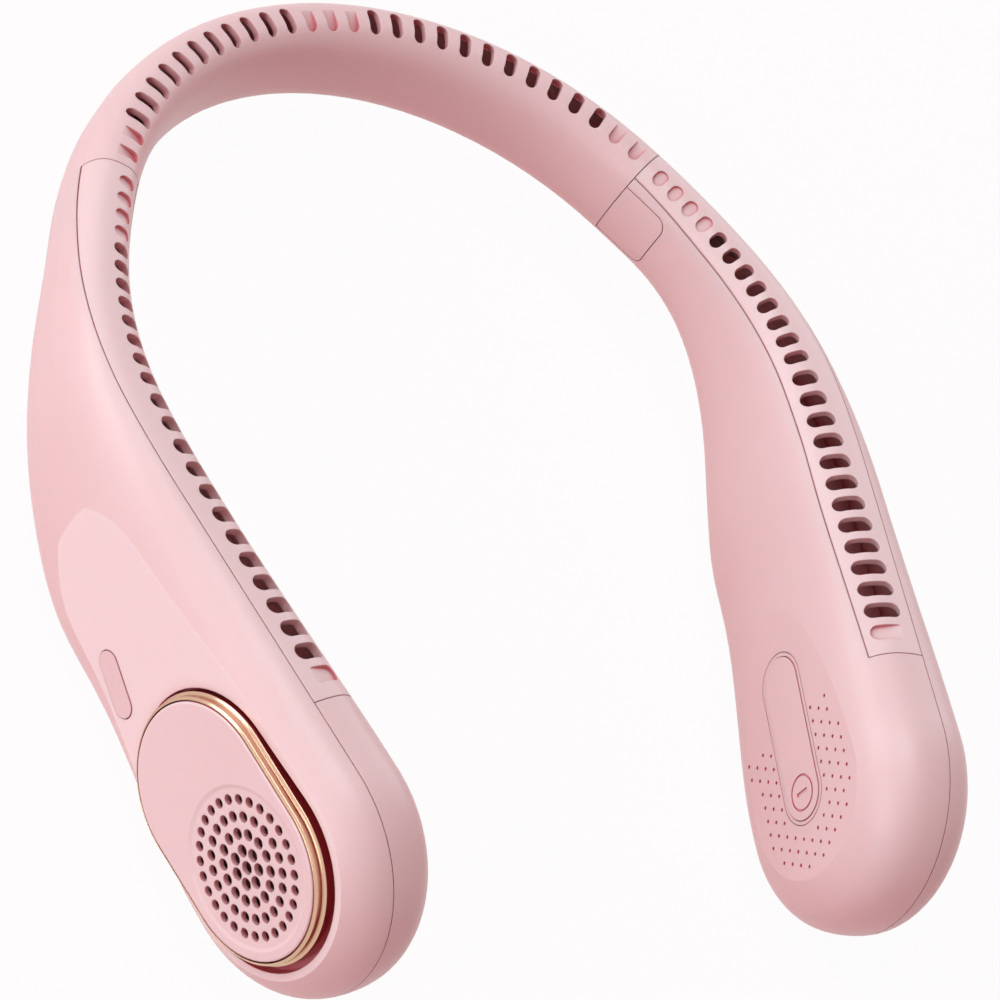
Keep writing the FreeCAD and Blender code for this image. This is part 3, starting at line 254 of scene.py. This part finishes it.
def moulded_plastic(name, look, colour, deep, roughness, flats=()):
    """Injection-moulded ABS: the mould's grain breaks up the highlight, the melt's flow
    clouds the tone, and light that goes a little way in softens the shade. Slots and gaps
    get painted shade in a deeper pink, and the flats, where given, a paler painted sheen."""
    material, tree, shader, place = new_material(name)
    cloud = add_node(tree, "ShaderNodeTexNoise",
                     {"Vector": place, "Scale": 1 / FLOW_WIDTH, "Detail": 2.0})
    tone = add_node(tree, "ShaderNodeMix",
                    {SHARE: cloud.outputs[0], COLOUR_A: colour, COLOUR_B: deep},
                    data_type="RGBA").outputs[MIXED_COLOUR]
    speck = add_node(tree, "ShaderNodeTexNoise",
                     {"Vector": place, "Scale": MM / look.grain, "Detail": 3.0})
    rough = add_node(tree, "ShaderNodeMapRange",
                     {"Value": speck.outputs[0], "To Min": roughness - GRAIN_SPREAD,
                      "To Max": roughness + GRAIN_SPREAD}).outputs[0]
    if flats:
        mask = plane_mask(tree, place, flats)
        rough = add_node(tree, "ShaderNodeMix",
                         {SHARE: mask, NUMBER_A: rough,
                          NUMBER_B: look.gloss}).outputs[MIXED_NUMBER]
        # Painted sheen: a paler tone on the outer flats; their lower roughness is real gloss
        tone = add_node(tree, "ShaderNodeMix",
                        {SHARE: mask, COLOUR_A: tone, COLOUR_B: look.flat_painted_sheen},
                        data_type="RGBA").outputs[MIXED_COLOUR]
    # Painted shade: the tone turns a deeper pink in slots and gaps, the more closed in they are,
    # standing in for shade and for light that bounces between pink walls
    open_share = add_node(tree, "ShaderNodeAmbientOcclusion", {"Distance": look.painted_shade_reach},
                          samples=8)
    painted_shade_falloff = add_node(tree, "ShaderNodeMapRange",
                      {"Value": open_share.outputs["AO"], "From Min": PAINTED_SHADE_SHUT,
                       "From Max": PAINTED_SHADE_OPEN})
    tone = add_node(tree, "ShaderNodeMix",
                    {SHARE: painted_shade_falloff.outputs[0], COLOUR_A: look.crevice_painted_shade, COLOUR_B: tone},
                    data_type="RGBA").outputs[MIXED_COLOUR]
    rounded = add_node(tree, "ShaderNodeBevel", {"Radius": look.edge_round}, samples=6)
    bump = add_node(tree, "ShaderNodeBump",
                    {"Strength": 0.12, "Distance": GRAIN_DEPTH * MM, "Height": speck.outputs[0],
                     "Normal": rounded.outputs[0]})
    set_inputs(tree, shader, {
        "Base Color": tone, "Roughness": rough, "IOR": ABS_IOR, "Subsurface Weight": 0.2,
        "Subsurface Radius": GLOW_DEPTH, "Subsurface Scale": 0.7, "Coat Weight": 0.2,
        "Coat Roughness": 0.3, "Normal": bump.outputs[0]})
    return material


def plated_metal(name, look, steps):
    """Rose-gold plating on polished metal: a clear mirror with faint polishing lines, over
    a foot drawn dark pink as painted shade."""
    material, tree, shader, place = new_material(name)
    # Painted shade: below the ring step the foot is drawn dark pink instead of gold
    tone = add_node(tree, "ShaderNodeMix",
                    {SHARE: plane_mask(tree, place, steps), COLOUR_A: look.ring_foot_painted_shade,
                     COLOUR_B: look.rose_gold}, data_type="RGBA")
    squeezed = add_node(tree, "ShaderNodeVectorMath", {0: place, 1: POLISH_LINES},
                        operation="MULTIPLY")
    lines = add_node(tree, "ShaderNodeTexNoise",
                     {"Vector": squeezed.outputs[0], "Scale": 1.0, "Detail": 3.0})
    rough = add_node(tree, "ShaderNodeMapRange",
                     {"Value": lines.outputs[0], "To Min": 0.14, "To Max": 0.26})
    rounded = add_node(tree, "ShaderNodeBevel", {"Radius": look.ring_round}, samples=6)
    set_inputs(tree, shader, {
        "Base Color": tone.outputs[MIXED_COLOUR], "Metallic": 1.0,
        "Roughness": rough.outputs[0], "Normal": rounded.outputs[0]})
    return material


def woven_mesh(name, look):
    """Woven polyester filter: round dull threads crosswise, with dark gaps between them."""
    material, tree, shader, place = new_material(name)
    turns = 2 * math.pi * MM / look.thread
    ways = add_node(tree, "ShaderNodeSeparateXYZ", {0: place})
    waves = []
    for way in ("Y", "Z"):
        turned = add_node(tree, "ShaderNodeMath", {0: ways.outputs[way], 1: turns},
                          operation="MULTIPLY")
        waves.append(add_node(tree, "ShaderNodeMath", {0: turned.outputs[0]}, operation="SINE"))
    thread = add_node(tree, "ShaderNodeMath",
                      {0: waves[0].outputs[0], 1: waves[1].outputs[0]}, operation="MAXIMUM")
    tone = add_node(tree, "ShaderNodeMix",
                    {SHARE: thread.outputs[0], COLOUR_A: look.mesh_gap,
                     COLOUR_B: look.mesh_dark}, data_type="RGBA")
    bump = add_node(tree, "ShaderNodeBump",
                    {"Strength": 0.6, "Distance": 0.1 * MM, "Height": thread.outputs[0]})
    set_inputs(tree, shader, {
        "Base Color": tone.outputs[MIXED_COLOUR], "Roughness": 0.7, "IOR": 1.58,
        "Specular IOR Level": 0.2, "Normal": bump.outputs[0]})
    return material


def plain_finish(name, code, roughness, metallic=0.0, speck_mm=0.5, ior=1.5):
    """Cast, drawn or moulded inner piece: an even tone with specks and an uneven sheen. Real
    specks are finer: they are drawn coarser, to show."""
    material, tree, shader, place = new_material(name)
    speck = add_node(tree, "ShaderNodeTexNoise",
                     {"Vector": place, "Scale": 1 / speck_mm, "Detail": 2.0})
    colour = hex_colour(code)
    dim = [share * SPECK_TONE for share in colour[:3]] + [1.0]
    tone = add_node(tree, "ShaderNodeMix",
                    {SHARE: speck.outputs[0], COLOUR_A: dim, COLOUR_B: colour},
                    data_type="RGBA")
    rough = add_node(tree, "ShaderNodeMapRange",
                     {"Value": speck.outputs[0], "To Min": roughness - SHEEN_SPREAD,
                      "To Max": roughness + SHEEN_SPREAD})
    set_inputs(tree, shader, {
        "Base Color": tone.outputs[MIXED_COLOUR], "Roughness": rough.outputs[0],
        "Metallic": metallic, "IOR": ior})
    return material


# Operators, one for each group of pieces

class NECKFAN_OT_shells(Operator):
    """Satin pink ABS on the band, the inner shells and the seam covers, with polished flats in a
    paler painted sheen
    """

    bl_idname = "neckfan.shells"
    bl_label = "Shells"

    def execute(self, context):
        look = context.scene.neck_fan
        shell = moulded_plastic("Satin ABS shell", look, look.shell_pink, look.shell_deep,
                                look.satin, fan_planes(OUTER_FLAT))
        dress(["neck_band_shell"] + both("inner_shell", "seam_cover"), shell)
        return {"FINISHED"}


class NECKFAN_OT_vent_strips(Operator):
    """Satin ABS, a touch paler than the shells, on the slotted strips along the arms"""

    bl_idname = "neckfan.vent_strips"
    bl_label = "Vent strips"

    def execute(self, context):
        look = context.scene.neck_fan
        strip = moulded_plastic("Satin ABS strip", look, look.strip_pink, look.shell_pink,
                                look.satin)
        dress(both("vent_strip"), strip)
        return {"FINISHED"}


class NECKFAN_OT_intakes(Operator):
    """Polished cover, plated ring and woven filter of each intake"""

    bl_idname = "neckfan.intakes"
    bl_label = "Intakes"

    def execute(self, context):
        look = context.scene.neck_fan
        cover = moulded_plastic("Polished ABS cover", look, look.cover_pink, look.shell_pink,
                                look.cover_gloss)
        dress(both("intake_cover"), cover)
        dress(both("trim_ring"), plated_metal("Rose gold plating", look, fan_planes(RING_STEP)))
        dress(both("dust_mesh"), woven_mesh("Woven polyester filter", look))
        return {"FINISHED"}


class NECKFAN_OT_buttons(Operator):
    """ABS on the buttons and the bezel, a little glossier than the shells"""

    bl_idname = "neckfan.buttons"
    bl_label = "Buttons"

    def execute(self, context):
        look = context.scene.neck_fan
        button = moulded_plastic("Satin ABS button", look, look.shell_pink, look.shell_deep,
                                 look.button_satin)
        dress(["left_mode_button", "right_power_button", "right_power_bezel"], button)
        return {"FINISHED"}


class NECKFAN_OT_blowers(Operator):
    """Inner finishes of the duct, the scroll, the wheel, the motor and the screws"""

    bl_idname = "neckfan.blowers"
    bl_label = "Blowers"

    def execute(self, context):
        # Half matt pink wall: a blush in the depth of the slots
        dress(both("duct_divider"),
              plain_finish("Moulded pink ABS", "#D98F94", 0.45, ior=ABS_IOR))
        # Half matt black: the space behind the holes looks deep
        dress(both("fan_scroll"),
              plain_finish("Black moulded ABS", "#2A2425", 0.5, ior=ABS_IOR))
        # Pale and half matt: the vanes catch a little light
        dress(both("impeller"), plain_finish("Grey moulded PBT", "#C9C3C1", 0.42, ior=1.55))
        # Bright, slightly blurred mirror
        dress(both("rotor_cup", "screw_1", "screw_2", "screw_3", "screw_4"),
              plain_finish("Drawn steel", "#C4C4C6", 0.28, metallic=1.0))
        # Dull grey metal
        dress(both("motor_stator"),
              plain_finish("Stamped iron core", "#6C6460", 0.45, metallic=1.0))
        # Dark stony grey without a clear highlight
        dress(both("magnet_ring"), plain_finish("Sintered ferrite", "#3A3A3D", 0.6, ior=2.3))
        # Warm yellow metal with a porous sheen
        dress(both("bearing"), plain_finish("Sintered bronze", "#B8863F", 0.4, metallic=1.0))
        return {"FINISHED"}


class NECKFAN_OT_electronics(Operator):
    """Inner finishes of the batteries, boards, switches, cable and charging socket"""

    bl_idname = "neckfan.electronics"
    bl_label = "Electronics"

    def execute(self, context):
        # Silver with broad, uneven reflections
        dress(both("battery"),
              plain_finish("Foil pouch", "#C9CBCE", 0.33, metallic=1.0, speck_mm=4.0))
        # Half matt black
        dress(both("cell_tray"), plain_finish("Black tray ABS", "#262223", 0.5, ior=ABS_IOR))
        # Deep green with a lacquered sheen
        dress(both("circuit_board") + ["right_switch_board"],
              plain_finish("Green solder mask", "#1F6B3E", 0.35, ior=1.55))
        # Dull black
        dress(["left_mode_switch", "right_power_switch"],
              plain_finish("Black switch nylon", "#1D1A1A", 0.55, ior=1.53))
        # Dull rubbery black
        dress(["link_cable"], plain_finish("Soft PVC jacket", "#2B2726", 0.55, ior=1.54))
        # Bright, slightly warm mirror
        dress(["usb_socket"],
              plain_finish("Nickel-plated steel", "#BFBDBA", 0.25, metallic=1.0))
        return {"FINISHED"}


class NECKFAN_OT_stage(Operator):
    """Camera, pale floor, even light all round and soft boxes"""

    bl_idname = "neckfan.stage"
    bl_label = "Stage"

    def execute(self, context):
        stage = context.scene.neck_fan_stage
        make_camera(context, stage)
        make_floor(context, stage)
        make_world(context, stage)
        middle = Vector([0.5 * (low + high) for low, high in zip(*CAD_BOX)])
        for name, offset, power in SOFT_BOXES:
            make_lamp(context, stage, name, middle, offset, getattr(stage, power))
        context.scene.view_settings.view_transform = "Standard"
        return {"FINISHED"}


def make_camera(context, stage):
    """Long lens from the front left, well above the floor and rolled."""
    data = bpy.data.cameras.new("camera")
    data.lens = stage.lens
    data.sensor_width = FILM_WIDTH
    data.clip_end = VIEW_END
    camera = bpy.data.objects.new("camera", data)
    camera.location = CAMERA_PLACE
    camera.rotation_euler = Euler([math.radians(turn) for turn in CAMERA_TURN])
    context.scene.collection.objects.link(camera)
    context.scene.camera = camera


def seen_rays(tree):
    """1 for rays that show the background: from the camera, off gloss and through glass."""
    path = add_node(tree, "ShaderNodeLightPath")
    share = path.outputs["Is Camera Ray"]
    for name in ("Is Glossy Ray", "Is Transmission Ray"):
        share = add_node(tree, "ShaderNodeMath", {0: share, 1: path.outputs[name]},
                         operation="MAXIMUM").outputs[0]
    return share


def make_floor(context, stage):
    """Matt paper that shows nearly white to the camera, keeps a faint shadow and throws
    pink light back at the object."""
    material = bpy.data.materials.new("Matt paper floor")
    tree = empty_tree(material)
    paper = add_node(tree, "ShaderNodeBsdfDiffuse", {"Color": stage.floor_tone})
    white = add_node(tree, "ShaderNodeEmission", {"Color": WHITE, "Strength": 1.0})
    share = add_node(tree, "ShaderNodeMath", {0: seen_rays(tree), 1: stage.floor_white},
                     operation="MULTIPLY")
    mix = add_node(tree, "ShaderNodeMixShader",
                   {0: share.outputs[0], 1: paper.outputs[0], 2: white.outputs[0]})
    add_node(tree, "ShaderNodeOutputMaterial", {"Surface": mix.outputs[0]})
    half = 0.5 * stage.floor_span
    corners = [(x * half, y * half, -FLOOR_DROP)
               for x, y in ((-1, -1), (1, -1), (1, 1), (-1, 1))]
    mesh = bpy.data.meshes.new("floor")
    mesh.from_pydata(corners, [], [(0, 1, 2, 3)])
    mesh.materials.append(material)
    floor = bpy.data.objects.new("floor", mesh)
    context.scene.collection.objects.link(floor)


def make_world(context, stage):
    """Even pink fill at a plain level, with white behind the object and in its gloss."""
    world = bpy.data.worlds.new("studio")
    tree = empty_tree(world)
    fill = add_node(tree, "ShaderNodeBackground",
                    {"Color": stage.fill_pink, "Strength": stage.fill_level})
    white = add_node(tree, "ShaderNodeBackground", {"Color": WHITE, "Strength": 1.0})
    sky = add_node(tree, "ShaderNodeMixShader",
                   {0: seen_rays(tree), 1: fill.outputs[0], 2: white.outputs[0]})
    add_node(tree, "ShaderNodeOutputWorld", {"Surface": sky.outputs[0]})
    context.scene.world = world


def make_lamp(context, stage, name, middle, offset, power):
    """Soft box at an offset from the middle of the fan, aimed back at it."""
    data = bpy.data.lights.new(name, "AREA")
    data.shape = "SQUARE"
    data.size = stage.box_side
    data.energy = power
    data.color = stage.lamp_tint[:3]
    lamp = bpy.data.objects.new(name, data)
    lamp.location = middle + Vector(offset)
    lamp.rotation_euler = (middle - lamp.location).to_track_quat("-Z", "Y").to_euler()
    context.scene.collection.objects.link(lamp)


class NECKFAN_PT_panel(Panel):
    """Finishes and stage of the neck fan"""

    bl_label = "Neck Fan"
    bl_idname = "NECKFAN_PT_panel"
    bl_space_type = "VIEW_3D"
    bl_region_type = "UI"
    bl_category = "Neck Fan"

    def draw(self, context):
        for group in (context.scene.neck_fan, context.scene.neck_fan_stage):
            for name in group.__annotations__:
                self.layout.prop(group, name)
        for operator in OPERATORS:
            self.layout.operator(operator.bl_idname)


OPERATORS = (NECKFAN_OT_shells, NECKFAN_OT_vent_strips, NECKFAN_OT_intakes, NECKFAN_OT_buttons,
             NECKFAN_OT_blowers, NECKFAN_OT_electronics, NECKFAN_OT_stage)
CLASSES = (NeckFanFinishes, NeckFanStage) + OPERATORS + (NECKFAN_PT_panel,)


def register():
    """Register the classes and the two groups of settings."""
    for item in CLASSES:
        bpy.utils.register_class(item)
    bpy.types.Scene.neck_fan = PointerProperty(type=NeckFanFinishes)
    bpy.types.Scene.neck_fan_stage = PointerProperty(type=NeckFanStage)


def unregister():
    """Take the settings and classes away again."""
    del bpy.types.Scene.neck_fan_stage
    del bpy.types.Scene.neck_fan
    for item in reversed(CLASSES):
        bpy.utils.unregister_class(item)


def main():
    """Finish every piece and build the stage."""
    register()
    bpy.ops.neckfan.shells()
    bpy.ops.neckfan.vent_strips()
    bpy.ops.neckfan.intakes()
    bpy.ops.neckfan.buttons()
    bpy.ops.neckfan.blowers()
    bpy.ops.neckfan.electronics()
    bpy.ops.neckfan.stage()


if __name__ == "__main__":
    main()
